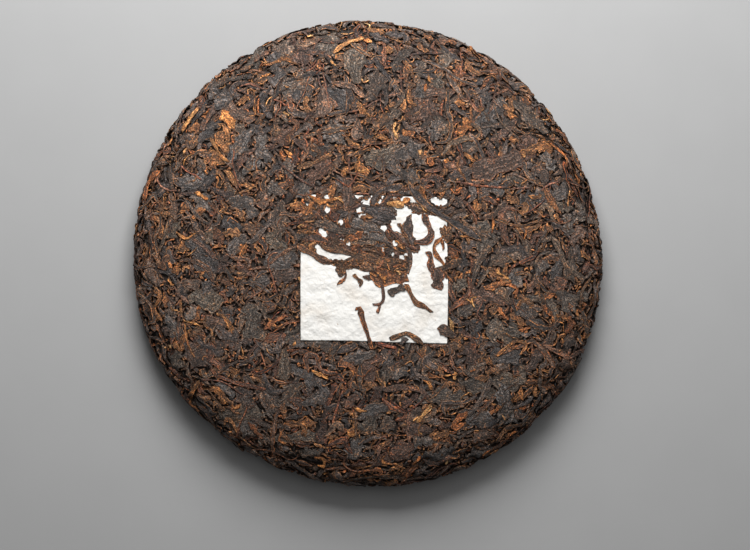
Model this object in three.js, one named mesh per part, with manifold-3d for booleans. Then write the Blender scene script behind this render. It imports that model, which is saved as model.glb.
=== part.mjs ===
// A pressed cake of pu-erh tea, lying on its back with its front face up.
// The cake is one solid: a core of pressed tea with its largest leaves fused on.
// A square paper ticket is sunk in the front face, partly under a thin cover of tea.
// Lengths are millimetres and +Z is up. The top of the ticket points along +Y.
import * as THREE from "three";
import { mergeVertices } from "three/addons/utils/BufferGeometryUtils.js";
import Module from "manifold-3d";

// Driving dimensions of the cake
const cakeRadius = 98;
const cakeHeight = 25;
const rimHeight = 9; // height of the widest point of the rim
const domePower = 3.2; // how far out the front face stays flat
const domeRound = 2.2; // how square the shoulder is
const underRound = 2.2; // how square the lower edge is
const underRadius = 84; // where the lower edge meets the flat back
const restRadius = 58; // outer radius of the smooth flat ring that carries the cake
const dimpleRadius = 31; // where the bag's knot pressed into the back
const dimpleDepth = 8;
const coreDepth = 1.1; // how far the core lies under the tops of the leaves
const coreBumps = 0.4; // how far its own bumps rise and fall

// Driving dimensions of the ticket
const ticketSide = 60.4;
const ticketThickness = 0.35;
const ticketCentre = new THREE.Vector2(2, -4.4);
const ticketTurn = THREE.MathUtils.degToRad(-0.7);
const ticketSink = 0.45; // how far its lower edge lies under the tops of the leaves
const ticketTilt = 1.25; // how much deeper its upper part lies
const ticketBank = 0.3; // depth of the core right beside the ticket
const ticketWave = 0.12; // how far the paper waves under the tea
const ticketGap = 0.32; // clearance to the tea on every side
const ticketCells = 10;
const bankWidth = 12; // how far from the ticket the face stays level with it

// Lower edge of the tea that covers the ticket, in ticket coordinates, from its left side to its top
const coverEdge = [
  [-30.6, 6.6],
  [-21.4, 2.7],
  [-14.6, -0.6],
  [-1.9, -1.1],
  [3.1, -5.6],
  [13.3, -5.3],
  [14.7, 3.6],
  [10.7, 11.7],
  [8.3, 19.5],
  [12.7, 26.3],
  [20.5, 30.6],
];
const coverCorner = new THREE.Vector2(6, 6); // leaves lie on the cover to the left of it and above it

// Fused leaves, all over the cake
const leafCount = 110;
const leafSides = 4;
const leafRings = 5;
const leafLength = [13, 32];
const shortness = 1.6; // how much likelier short leaves are
const leafWidth = [2.8, 6.4];
const leafHalfHeight = [0.9, 1.3];
const leafSink = [-0.3, 0.3]; // how far a leaf's top lies under the mean face
const leafBend = 0.055; // most turn for each millimetre of length, in radians
const leafFullness = 0.55; // how blunt the leaves' ends are
const ticketMargin = 2.5; // leaves start this far from the ticket
const rimZone = [0.7, 0.95]; // where leaves turn along the rim, as shares of the radius
const rimOrder = 0.75; // how well they follow the rim there

// More leaves lie end to end along the rim
const rimLeafCount = 24;
const rimLeafLength = [24, 30];
const rimLeafTurn = 0.25;
const rimLeafSpread = 3; // range of their heights

// Resolution of the core
const coreSegments = 44;
const topSteps = 9;
const underSteps = 3;
const backSteps = 2;
const ringSteps = 2;
const dimpleSteps = 4;
const faceDetail = 6; // how much finer the profile is that the leaves follow
const walkSteps = 8;
const weld = 1e-4; // vertices closer than this are one

// The cake isn't quite round: lobes of the rim, each [lobes, share of the radius, angle in degrees]
const outlineLobes = [
  [2, 0.0095, -76],
  [3, 0.0055, -102],
  [5, 0.0015, -65],
];

const goldenAngle = Math.PI * (3 - Math.sqrt(5));

// Seeded draws, so that every run gives the same cake
function seededRandom(seed) {
  let state = seed;
  return () => {
    state = (state + 0x6d2b79f5) | 0;
    let t = Math.imul(state ^ (state >>> 15), 1 | state);
    t = (t + Math.imul(t ^ (t >>> 7), 61 | t)) ^ t;
    return ((t ^ (t >>> 14)) >>> 0) / 4294967296;
  };
}

const between = (random, [low, high]) => low + (high - low) * random();

// Height of the front face at a distance from the axis
function topHeight(radius) {
  const share = Math.min(radius / cakeRadius, 1);
  const fall = 1 - share ** domePower;
  return rimHeight + (cakeHeight - rimHeight) * fall ** (1 / domeRound);
}

// The profile from the middle of the front face, over the rim, to the middle of the back
function profile(detail = 1) {
  const points = [];
  for (let i = 0; i < topSteps * detail; i++) {
    const radius = cakeRadius * Math.sin((Math.PI / 2) * (i / (topSteps * detail)));
    points.push(new THREE.Vector2(radius, topHeight(radius)));
  }
  const power = 2 / underRound;
  for (let i = 0; i < underSteps * detail; i++) {
    const angle = (Math.PI / 2) * (i / (underSteps * detail));
    const radius = underRadius + (cakeRadius - underRadius) * Math.cos(angle) ** power;
    points.push(new THREE.Vector2(radius, rimHeight * (1 - Math.sin(angle) ** power)));
  }
  for (let i = 0; i < backSteps * detail; i++) {
    const radius = THREE.MathUtils.lerp(underRadius, restRadius, i / (backSteps * detail));
    points.push(new THREE.Vector2(radius, 0));
  }
  for (let i = 0; i < ringSteps * detail; i++) {
    const radius = THREE.MathUtils.lerp(restRadius, dimpleRadius, i / (ringSteps * detail));
    points.push(new THREE.Vector2(radius, 0));
  }
  for (let i = 0; i <= dimpleSteps * detail; i++) {
    const share = i / (dimpleSteps * detail);
    const height = dimpleDepth * THREE.MathUtils.smoothstep(share, 0, 1);
    points.push(new THREE.Vector2(dimpleRadius * (1 - share), height));
  }
  return points;
}

// Soft bumps of leaf size over the whole core, from -1 to 1
function bumps(x, y, z) {
  return (
    (Math.sin(0.46 * x + 1.7 * Math.sin(0.19 * y) + 0.5) +
      Math.sin(0.41 * y - 1.9 * Math.sin(0.23 * x) + 2.1) +
      Math.sin(0.33 * (x + y) + 0.7 * z)) /
    3
  );
}

// Turns the round model into the real, slightly uneven outline
function uneven(point) {
  const angle = Math.atan2(point.y, point.x);
  let scale = 1;
  for (const [lobes, share, phase] of outlineLobes)
    scale += share * Math.cos(lobes * angle - THREE.MathUtils.degToRad(phase));
  point.x *= scale;
  point.y *= scale;
  return point;
}

// Moves every vertex of a geometry by a function of the vertex
function reshape(geometry, move) {
  const position = geometry.getAttribute("position");
  const point = new THREE.Vector3();
  for (let i = 0; i < position.count; i++) {
    move(point.fromBufferAttribute(position, i));
    position.setXYZ(i, point.x, point.y, point.z);
  }
  return geometry;
}

const wasm = await Module();
wasm.setup();

// A closed geometry as a solid that can be joined and cut
function solidOf(geometry) {
  const bare = geometry.clone();
  bare.deleteAttribute("normal");
  bare.deleteAttribute("uv");
  const merged = mergeVertices(bare, weld);
  const index = merged.index.array;
  const corners = [];
  for (let i = 0; i < index.length; i += 3) {
    const [a, b, c] = index.slice(i, i + 3);
    if (a !== b && b !== c && c !== a) corners.push(a, b, c);
  }
  return new wasm.Manifold(
    new wasm.Mesh({
      numProp: 3,
      vertProperties: new Float32Array(merged.getAttribute("position").array),
      triVerts: new Uint32Array(corners),
    }),
  );
}

// A solid as a geometry again
function geometryOf(solid) {
  const mesh = solid.getMesh();
  const position = new THREE.BufferAttribute(new Float32Array(mesh.vertProperties), 3);
  const geometry = new THREE.BufferGeometry().setAttribute("position", position);
  geometry.setIndex(new THREE.BufferAttribute(new Uint32Array(mesh.triVerts), 1));
  return geometry;
}

// Dense profile with outward normals, to find the face nearest to any point
const face = profile(faceDetail);
const faceNormal = face.map((_, i) => {
  const before = face[Math.max(i - 1, 0)];
  const after = face[Math.min(i + 1, face.length - 1)];
  const along = after.clone().sub(before).normalize();
  return new THREE.Vector2(-along.y, along.x);
});

function nearestFace(point) {
  const radius = Math.hypot(point.x, point.y);
  const outward = new THREE.Vector3(point.x, point.y, 0).divideScalar(radius || 1);
  let best = 0;
  let least = Infinity;
  face.forEach((p, i) => {
    const gap = (p.x - radius) ** 2 + (p.y - point.z) ** 2;
    if (gap < least) [least, best] = [gap, i];
  });
  const normal = outward.clone().multiplyScalar(faceNormal[best].x);
  normal.z = faceNormal[best].y;
  const over = new THREE.Vector2(radius - face[best].x, point.z - face[best].y);
  const place = point.clone().addScaledVector(normal, -over.dot(faceNormal[best]));
  return { place, normal };
}

// Walks from a point over the face, turning steadily, and returns where it stands
function walk(start, heading, distance, bend) {
  let { place, normal } = nearestFace(start);
  const along = heading.clone();
  const step = distance / walkSteps;
  for (let i = 0; i < walkSteps; i++) {
    along.applyAxisAngle(normal, bend * step);
    ({ place, normal } = nearestFace(place.clone().addScaledVector(along, step)));
    along.addScaledVector(normal, -along.dot(normal)).normalize();
  }
  return { place, normal, along };
}

// One rolled leaf, pressed flat: a bent spindle that follows the face
function fusedLeaf({ centre, heading, length, width, halfHeight, bend, sink }) {
  const spindle = new THREE.SphereGeometry(1, leafSides, leafRings);
  return reshape(spindle, (point) => {
    const { place, normal, along } = walk(centre, heading, (point.y * length) / 2, bend);
    const ring = Math.hypot(point.x, point.z);
    const fuller = ring > weld ? ring ** leafFullness / ring : 0;
    const side = new THREE.Vector3().crossVectors(along, normal);
    const rise = (point.z * fuller - 1) * halfHeight - sink;
    place.addScaledVector(side, (point.x * fuller * width) / 2).addScaledVector(normal, rise);
    point.copy(place).setZ(Math.max(place.z, 0));
  });
}

// From ticket coordinates to the round model, following the depth at which the paper lies
function ticketPlace(point) {
  const across = new THREE.Vector2(point.x, point.y);
  const rise = THREE.MathUtils.smoothstep(across.y - 0.2 * across.x, -ticketSide / 2, 2);
  const wave = ticketWave * Math.sin(0.35 * across.x + 0.9 * Math.sin(0.21 * across.y));
  across.rotateAround(new THREE.Vector2(), ticketTurn).add(ticketCentre);
  const depth = ticketSink + ticketTilt * rise;
  const height = topHeight(across.length()) - depth + wave * rise;
  point.set(across.x, across.y, height + point.z);
  return point;
}

// The paper, or the room that it takes when grown on all sides
function ticketSlab(grown = 0) {
  const side = ticketSide + 2 * grown;
  const thickness = ticketThickness + 2 * grown;
  const slab = new THREE.BoxGeometry(side, side, thickness, ticketCells, ticketCells, 1);
  slab.translate(0, 0, -ticketThickness / 2);
  return reshape(slab, (point) => uneven(ticketPlace(point)));
}

// Room over the part of the ticket that no tea covers
function openOverTicket() {
  const edge = ticketSide / 2 + ticketGap;
  const corners = [[-edge, -edge], [edge, -edge], [edge, edge], ...coverEdge.toReversed()];
  const outline = new THREE.Shape(corners.map(([x, y]) => new THREE.Vector2(x, y)));
  const room = new THREE.ExtrudeGeometry(outline, { depth: 6, bevelEnabled: false, steps: 1 });
  room.translate(0, 0, -ticketThickness / 2);
  return reshape(room, (point) => uneven(ticketPlace(point)));
}

// How far a point lies outside the ticket's sides, less than 0 over the ticket
function beyondTicket({ x, y }) {
  const across = Math.max(Math.abs(x - ticketCentre.x), Math.abs(y - ticketCentre.y));
  return across - ticketSide / 2;
}

// The bare core: the profile turned round the axis, with bumps everywhere but on the flat ring
function core() {
  const lathe = new THREE.LatheGeometry(profile().reverse(), coreSegments);
  lathe.rotateX(Math.PI / 2);
  return reshape(lathe, (point) => {
    const radius = Math.hypot(point.x, point.y);
    const { normal } = nearestFace(point);
    const calm = THREE.MathUtils.smoothstep(beyondTicket(point), 0, bankWidth);
    const onRing = point.z < weld && radius < restRadius + weld && radius > dimpleRadius - weld;
    const free = point.z > rimHeight ? calm : 1;
    const bump = coreBumps * free * bumps(point.x, point.y, point.z);
    const depth = onRing ? 0 : THREE.MathUtils.lerp(ticketBank, coreDepth, free) - bump;
    point.addScaledVector(normal, -depth);
    uneven(point);
  });
}

// Spots spread evenly over the whole face, from the front's middle to the back's, in a spiral
function leafSpots() {
  const rings = face.slice(1).map((p, i) => (p.x + face[i].x) * p.distanceTo(face[i]));
  const whole = rings.reduce((sum, area) => sum + area, 0);
  const spots = [];
  let passed = 0;
  let ring = 0;
  for (let i = 0; i < leafCount; i++) {
    const wanted = (whole * (i + 0.5)) / leafCount;
    while (passed + rings[ring] < wanted) passed += rings[ring++];
    const { x: radius, y: height } = face[ring + 1];
    const angle = i * goldenAngle;
    spots.push(new THREE.Vector3(radius * Math.cos(angle), radius * Math.sin(angle), height));
  }
  return spots;
}

// Whether a leaf would reach the smooth ring that carries the cake
function underRing(leaf) {
  let reaches = false;
  reshape(leaf, (point) => {
    const radius = Math.hypot(point.x, point.y);
    reaches ||= point.z < weld && radius < restRadius + 1;
  });
  return reaches;
}

// The long leaves that lie along the rim, at slightly varying heights
function rimLeaves(random) {
  return Array.from({ length: rimLeafCount }, (_, i) => {
    const angle = (2 * Math.PI * (i + 0.3 * random())) / rimLeafCount;
    const round = new THREE.Vector3(-Math.sin(angle), Math.cos(angle), 0);
    const spot = new THREE.Vector3(Math.cos(angle), Math.sin(angle), 0).multiplyScalar(cakeRadius);
    spot.z = rimHeight + (random() - 0.5) * rimLeafSpread;
    const { place, normal } = nearestFace(spot);
    return {
      centre: place,
      heading: round.applyAxisAngle(normal, (random() - 0.5) * rimLeafTurn),
      length: between(random, rimLeafLength),
      width: between(random, leafWidth),
      halfHeight: between(random, leafHalfHeight),
      bend: 0,
      sink: leafSink[0] * random(),
    };
  });
}

// The leaves that lie all over the cake, turning towards the rim's direction as they near it
function spreadLeaves(random) {
  return leafSpots().map((spot) => {
    const { place, normal } = nearestFace(spot);
    const radius = Math.hypot(place.x, place.y);
    const nearRim = THREE.MathUtils.smoothstep(radius / cakeRadius, ...rimZone);
    const turn = (random() - 0.5) * Math.PI * (1 - rimOrder * nearRim);
    const round = new THREE.Vector3(-place.y, place.x, 0).normalize();
    return {
      centre: place,
      heading: round.applyAxisAngle(normal, turn),
      length: THREE.MathUtils.lerp(...leafLength, random() ** shortness),
      width: between(random, leafWidth),
      halfHeight: between(random, leafHalfHeight),
      bend: (2 * random() - 1) * leafBend,
      sink: between(random, leafSink),
    };
  });
}

// Whether a leaf's centre lies over the part of the ticket that no tea covers
function overOpenTicket({ x, y, z }) {
  const onCover = x < ticketCentre.x + coverCorner.x && y > ticketCentre.y + coverCorner.y;
  return z > rimHeight && beyondTicket({ x, y }) < ticketMargin && !onCover;
}

function fusedLeaves() {
  const random = seededRandom(357);
  const wanted = [...rimLeaves(random), ...spreadLeaves(random)];
  const made = wanted.filter(({ centre }) => !overOpenTicket(centre)).map(fusedLeaf);
  return made.filter((leaf) => !underRing(leaf)).map((leaf) => solidOf(reshape(leaf, uneven)));
}

function largestBody(solid) {
  const bodies = solidOf(geometryOf(solid)).decompose();
  return bodies.sort((a, b) => b.volume() - a.volume())[0];
}

// Joins the core and its leaves, cuts the ticket's room, and drops loose scraps
function pressedTea() {
  const whole = wasm.Manifold.union([solidOf(core()), ...fusedLeaves()]);
  const cut = whole.subtract(solidOf(ticketSlab(ticketGap))).subtract(solidOf(openOverTicket()));
  return geometryOf(largestBody(cut));
}

const teaGeometry = pressedTea();
teaGeometry.computeBoundingBox();
const middle = teaGeometry.boundingBox.getCenter(new THREE.Vector3());

const tea = new THREE.MeshStandardMaterial({ color: 0x5c4b41, roughness: 0.75, metalness: 0 });
const paper = new THREE.MeshStandardMaterial({ color: 0xf2efe9, roughness: 0.9, metalness: 0 });

const pressedCake = new THREE.Mesh(teaGeometry, tea);
pressedCake.name = "cake";
const ticket = new THREE.Mesh(ticketSlab(), paper);
ticket.name = "ticket";

const cake = new THREE.Group();
cake.add(pressedCake, ticket);
cake.position.set(-middle.x, -middle.y, 0);

export default cake;
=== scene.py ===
import math

import bmesh
import bpy
import numpy as np
from mathutils import Matrix, Vector, noise


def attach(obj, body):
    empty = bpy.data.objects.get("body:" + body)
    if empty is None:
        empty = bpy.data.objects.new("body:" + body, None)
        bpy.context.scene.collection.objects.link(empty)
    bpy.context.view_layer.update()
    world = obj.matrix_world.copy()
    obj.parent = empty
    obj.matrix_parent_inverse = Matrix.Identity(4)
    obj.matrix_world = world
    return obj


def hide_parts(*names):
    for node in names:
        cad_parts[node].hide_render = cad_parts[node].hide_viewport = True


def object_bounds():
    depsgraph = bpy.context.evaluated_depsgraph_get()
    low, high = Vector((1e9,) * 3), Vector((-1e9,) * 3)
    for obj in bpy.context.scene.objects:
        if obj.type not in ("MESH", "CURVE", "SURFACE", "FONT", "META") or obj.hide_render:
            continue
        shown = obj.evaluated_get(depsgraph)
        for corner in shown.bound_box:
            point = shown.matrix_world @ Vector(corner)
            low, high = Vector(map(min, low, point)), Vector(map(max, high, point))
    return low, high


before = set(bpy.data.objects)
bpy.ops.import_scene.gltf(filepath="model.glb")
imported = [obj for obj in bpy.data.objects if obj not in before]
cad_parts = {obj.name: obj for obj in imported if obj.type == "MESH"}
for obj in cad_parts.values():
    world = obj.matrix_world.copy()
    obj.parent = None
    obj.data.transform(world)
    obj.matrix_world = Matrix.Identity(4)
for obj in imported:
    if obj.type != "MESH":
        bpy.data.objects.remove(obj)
cadBox = [list(corner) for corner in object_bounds()]
print("frame loaded")

# All forms are worked out in millimetres and made metres at the very end
metre = 0.001
dice = np.random.default_rng(357)

cake = {
    "radius": 98, "height": 25, "rimHeight": 9,
    "domePower": 3.2, "domeRound": 2.2, "underRound": 2.2, "underRadius": 84,
    "dimpleRadius": 31, "dimpleDepth": 8,
    "outlineLobes": [(2, 0.0095, -76), (3, 0.0055, -102), (5, 0.0015, -65)],  # how many, how large, where
    "middle": (-0.076, -0.392),
    "inside": 0.01,  # how far it stays inside the CAD model's box
    "step": 0.1,  # along the half section
    "cell": 0.5,  # of the map that says how deep a place is covered
}


def halfSection():
    # From the middle of the front, over the rim, to the middle of the back
    c = cake
    turn = np.linspace(0, math.pi / 2, 900)
    top = np.c_[
        c["radius"] * np.sin(turn) ** (2 / c["domePower"]),
        c["rimHeight"] + (c["height"] - c["rimHeight"]) * np.cos(turn) ** (2 / c["domeRound"]),
    ]
    under = np.c_[
        c["underRadius"] + (c["radius"] - c["underRadius"]) * np.cos(turn) ** (2 / c["underRound"]),
        c["rimHeight"] * (1 - np.sin(turn) ** (2 / c["underRound"])),
    ]
    share = np.linspace(0, 1, 300)[:, None]
    dimple = np.hstack([c["dimpleRadius"] * (1 - share), c["dimpleDepth"] * share**2 * (3 - 2 * share)])
    line = np.vstack([top, under[1:], dimple])
    along = np.r_[0, np.cumsum(np.hypot(*np.diff(line, axis=0).T))]
    even = np.arange(0, along[-1], c["step"])
    return even, np.interp(even, along, line[:, 0]), np.interp(even, along, line[:, 1])


wayAlong, wayRadius, wayHeight = halfSection()
tangentR, tangentZ = np.gradient(wayRadius), np.gradient(wayHeight)
tangentSize = np.hypot(tangentR, tangentZ)
tangentR, tangentZ = tangentR / tangentSize, tangentZ / tangentSize

# A coarse table of the nearest place on the half section
tableStep, tableLow, tableHigh, tableReach = 0.5, -8, 38, 112
tableZ = np.arange(tableLow, tableHigh, tableStep)[:, None]
nearest = []
for r in np.arange(0, tableReach, tableStep):
    gaps = (r - wayRadius[None, ::4]) ** 2 + (tableZ - wayHeight[None, ::4]) ** 2
    nearest.append(wayAlong[::4][gaps.argmin(axis=1)])
nearest = np.array(nearest)


def onWay(way, values):
    return np.interp(way, wayAlong, values)


def place(way, angle):
    r = onWay(way, wayRadius)
    return np.stack([r * np.cos(angle), r * np.sin(angle), onWay(way, wayHeight)], axis=-1)


def settle(points):
    # The nearest place on the skin: its point, the direction out of it, its way along the section, its angle
    r, z = np.hypot(points[..., 0], points[..., 1]), points[..., 2]
    angle = np.arctan2(points[..., 1], points[..., 0])
    i = np.clip(np.rint(r / tableStep).astype(int), 0, nearest.shape[0] - 1)
    j = np.clip(np.rint((z - tableLow) / tableStep).astype(int), 0, nearest.shape[1] - 1)
    way = nearest[i, j]
    for _ in range(3):
        slide = (r - onWay(way, wayRadius)) * onWay(way, tangentR)
        slide += (z - onWay(way, wayHeight)) * onWay(way, tangentZ)
        way = np.clip(way + slide, 0, wayAlong[-1])
    outR = -onWay(way, tangentZ)
    out = np.stack([outR * np.cos(angle), outR * np.sin(angle), onWay(way, tangentR)], axis=-1)
    return place(way, angle), out / np.linalg.norm(out, axis=-1, keepdims=True), way, angle


# The map of cover: rings of equal cells over the whole skin
ringCount = int(wayAlong[-1] / cake["cell"]) + 1
ringWay = (np.arange(ringCount) + 0.5) * cake["cell"]
ringCells = np.maximum(6, np.rint(2 * math.pi * onWay(ringWay, wayRadius) / cake["cell"])).astype(int)
ringStart = np.r_[0, np.cumsum(ringCells)]
cover = np.zeros(ringStart[-1])
hollow = np.zeros(ringStart[-1])  # how much lower the leaves lie there
cellWay = np.repeat(ringWay, ringCells)
cellInRing = np.arange(len(cover)) - np.repeat(ringStart[:-1], ringCells)
cellPoint = place(cellWay, (cellInRing + 0.5) / np.repeat(ringCells, ringCells) * 2 * math.pi)


def cellOf(way, angle):
    ring = np.clip((way / cake["cell"]).astype(int), 0, ringCount - 1)
    turn = (angle / (2 * math.pi)) % 1
    return ringStart[ring] + np.minimum((turn * ringCells[ring]).astype(int), ringCells[ring] - 1)


def finishPlace(points):
    # The real, slightly uneven outline, then the place in the CAD model's box
    c = cake
    angle = np.arctan2(points[..., 1], points[..., 0])
    scale = 1
    for lobes, share, phase in c["outlineLobes"]:
        scale = scale + share * np.cos(lobes * angle - math.radians(phase))
    made = points.copy()
    for axis in (0, 1):
        made[..., axis] = points[..., axis] * scale + c["middle"][axis]
    low, high = np.array(cadBox[0]) / metre + c["inside"], np.array(cadBox[1]) / metre - c["inside"]
    return np.clip(made, low, high) * metre


def unit(a):
    return a / np.maximum(np.linalg.norm(a, axis=-1, keepdims=True), 1e-9)


def headings(out):
    # Two directions along the skin, square to each other
    side = unit(np.cross(out, (0.31, 0.87, 0.38)))
    return side, np.cross(side, out)


def onDome(flat):
    # Places seen from the front, lifted on the cake's face
    rim = int(np.argmax(wayRadius))
    height = np.interp(np.hypot(flat[..., 0], flat[..., 1]), wayRadius[:rim], wayHeight[:rim])
    return np.concatenate([flat, height[..., None]], axis=-1)


def leafKind(finish, rows, across, length, width, thickness, drop, **own):
    # Rows and columns of points, then millimetres, then how a kind differs from the usual leaf
    usual = {
        "round": 0.5, "grooves": 2, "grooveDepth": 0.5, "rough": 0.2, "hook": 0.28, "bend": 0.8,
        "taper": 0.85, "ragged": 0.26, "press": 0.32,  # how much of its relief the press leaves
    }
    sizes = {"rows": rows, "across": across, "length": length, "width": width, "thickness": thickness}
    return {"finish": finish, **sizes, "drop": drop, **usual, **own}


crumb = {"grooves": 1, "hook": 0.2, "taper": 0.8}
tornCrumb = {"rough": 0.25, "ragged": 0.3, **crumb}
leafKinds = {
    "broadLeaves": leafKind("greyTea", 15, 13, (8, 21), (4.5, 10.5), (0.2, 0.3), 0.024, round=0.9, grooves=6,
                            grooveDepth=0.75, rough=0.3, hook=0.1, bend=0.4, taper=0.9, ragged=0.28),
    "brownPatches": leafKind("brownTea", 11, 11, (4.5, 11), (2.6, 6), (0.2, 0.3), 0.02, round=0.8, grooves=4,
                             grooveDepth=0.7, rough=0.3, hook=0.15, bend=0.5, taper=0.9, ragged=0.3),
    "longLeaves": leafKind("darkTea", 18, 7, (13, 30), (1.1, 2.9), (0.3, 0.5), 0.02, rough=0.16,
                           hook=0.25, ragged=0.2),
    "darkLeaves": leafKind("darkTea", 12, 7, (6, 18), (1.1, 3.6), (0.26, 0.46), 0.024, grooveDepth=0.55),
    "brownLeaves": leafKind("brownTea", 12, 7, (5, 16), (0.9, 2.9), (0.26, 0.44), 0.02, grooveDepth=0.55),
    "goldenBuds": leafKind("goldenTea", 9, 6, (2.5, 8), (0.7, 1.7), (0.26, 0.42), 0.018, hook=0.3, taper=0.9),
    "leafStems": leafKind("stemTea", 12, 5, (8, 22), (0.45, 0.85), (0.3, 0.45), 0.015, round=0.7, grooves=1,
                          grooveDepth=0.2, rough=0.08, hook=0.2, bend=0.5, taper=0.2, ragged=0.12),
    "curledEdges": leafKind("edgeTea", 8, 4, (2.5, 10), (0.3, 0.62), (0.2, 0.32), 0.015, round=0.6, grooves=1,
                            grooveDepth=0.1, rough=0.12, hook=0.45, bend=1.3, taper=0.8, ragged=0.24),
    "rimLeaves": leafKind("darkTea", 12, 7, (6, 20), (1.0, 3.0), (0.45, 0.9), 0.42, round=0.6, press=0.8,
                          hook=0.25, bend=0.6, ragged=0.24),
    "leafCrumbs": leafKind("darkTea", 5, 5, (1.4, 4.4), (0.6, 1.8), (0.22, 0.36), 0.03, **tornCrumb),
    "brownCrumbs": leafKind("brownTea", 5, 5, (1.0, 3.8), (0.45, 1.5), (0.2, 0.34), 0.02, **tornCrumb),
    "backLeaves": leafKind("darkTea", 8, 7, (6, 18), (1.4, 4.2), (0.3, 0.5), 0.03, round=0.6,
                           grooves=3, hook=0.35),
    "backBrownLeaves": leafKind("brownTea", 8, 6, (5, 14), (1.0, 2.8), (0.28, 0.46), 0.07, round=0.55,
                                hook=0.35),
    "backCrumbs": leafKind("darkTea", 5, 5, (1.8, 5), (0.8, 2.2), (0.25, 0.4), 0.05, rough=0.22, **crumb),
}
placed = {name: [] for name in leafKinds}  # what has been pressed in, batch by batch
bedding = {
    "layer": 0.15,  # how much of a leaf's thickness the one under it gives way
    "look": 0.4,  # how finely the bed under a leaf is looked at, along it
    "widest": 0.55,  # and across it
    "deepest": 2.2,
    "root": 0.9,  # how far a leaf's hidden edge runs down
}
rimZone = {  # in millimetres along the half section
    "start": 84, "fadeIn": 14, "fadeOut": 10, "skinEnd": 128, "coreEnd": 130,
    "uneven": 1.4, "sunk": 0.28, "deepest": 1.3,  # how much lower its leaves lie in places
    "turnFrom": 74, "turnFade": 16,  # from which radius on leaves run round the rim
}
bends = {
    "waves": 0.45,  # how many leaves run in an S
    "hookAt": (0.22, 0.4), "hookTurn": (0.9, 2.7), "hookLength": 0.1,  # shares of the leaf, and radians
    "unsteady": 0.09, "kinks": 0.12, "kinkTurn": 0.5,
    "tightest": 1.1,  # the smallest radius of any bend
}


def walkLeaves(kind, centre, heading, length):
    # Centre lines that run over the skin both ways from a middle, with arcs, hooks and S bends
    n, rows = len(centre), kind["rows"]
    t = np.linspace(-0.5, 0.5, rows)[None, :]
    step = (length / (rows - 1))[:, None]
    turn = np.repeat(dice.normal(0, kind["bend"], (n, 1)) / (rows - 1), rows, axis=1)
    wave = dice.normal(0, kind["bend"], (n, 1)) * (dice.random((n, 1)) < bends["waves"])
    turn = turn + wave * np.sin(2 * math.pi * t + dice.uniform(0, 6.3, (n, 1))) * 3 / (rows - 1)
    hooked = (dice.random((n, 1)) < kind["hook"]) * dice.choice([-1, 1], (n, 1))
    hookAt = dice.choice([-1, 1], (n, 1)) * dice.uniform(*bends["hookAt"], (n, 1))
    bump = np.exp(-(((t - hookAt) / bends["hookLength"]) ** 2))
    turn = turn + hooked * dice.uniform(*bends["hookTurn"], (n, 1)) * bump / bump.sum(axis=1, keepdims=True)
    turn = turn + dice.normal(0, bends["unsteady"], (n, rows))
    turn = turn + dice.normal(0, bends["kinkTurn"], (n, rows)) * (dice.random((n, rows)) < bends["kinks"])
    tightest = step / bends["tightest"]
    turn = np.clip(turn, -tightest, tightest)
    foot, out, _, _ = settle(centre)
    side, ahead = headings(out)
    direction = unit(ahead * np.cos(heading)[:, None] + side * np.sin(heading)[:, None])
    path = np.empty((n, rows, 3))
    middle = rows // 2
    path[:, middle] = foot
    for sign in (1, -1):
        point, way, up = foot, direction * sign, out
        for k in range(1, middle + 1 if sign < 0 else rows - middle):
            row = middle + sign * k
            angle = turn[:, row] * sign
            way = unit(way * np.cos(angle)[:, None] + np.cross(up, way) * np.sin(angle)[:, None])
            point, up, _, _ = settle(point + way * step)
            way = unit(way - up * (way * up).sum(axis=1, keepdims=True))
            path[:, row] = point
    return path


def drawPath(points, rows):
    # A smooth centre line through a few given places, evenly divided, and its length
    ends = np.vstack([2 * points[0] - points[1], points, 2 * points[-1] - points[-2]])
    line = []
    for a, b, c, d in zip(ends, ends[1:], ends[2:], ends[3:]):
        s = np.linspace(0, 1, 12, endpoint=False)[:, None]
        curve = (2 * a - 5 * b + 4 * c - d) * s**2 + (3 * b - a - 3 * c + d) * s**3
        line.append(0.5 * (2 * b + (c - a) * s + curve))
    line = np.vstack(line + [points[-1:]])
    gone = np.r_[0, np.cumsum(np.hypot(*np.diff(line, axis=0).T))]
    even = np.linspace(0, gone[-1], rows)
    return onDome(np.c_[np.interp(even, gone, line[:, 0]), np.interp(even, gone, line[:, 1])]), gone[-1]


def inBetween(count, parts):
    # The shares that the given points have in themselves and in those between them
    mix = np.zeros(((count - 1) * parts + 1, count))
    for k in range(len(mix)):
        low = min(k // parts, count - 2)
        share = (k - low * parts) / parts
        mix[k, low], mix[k, low + 1] = 1 - share, share
    return mix


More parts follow.
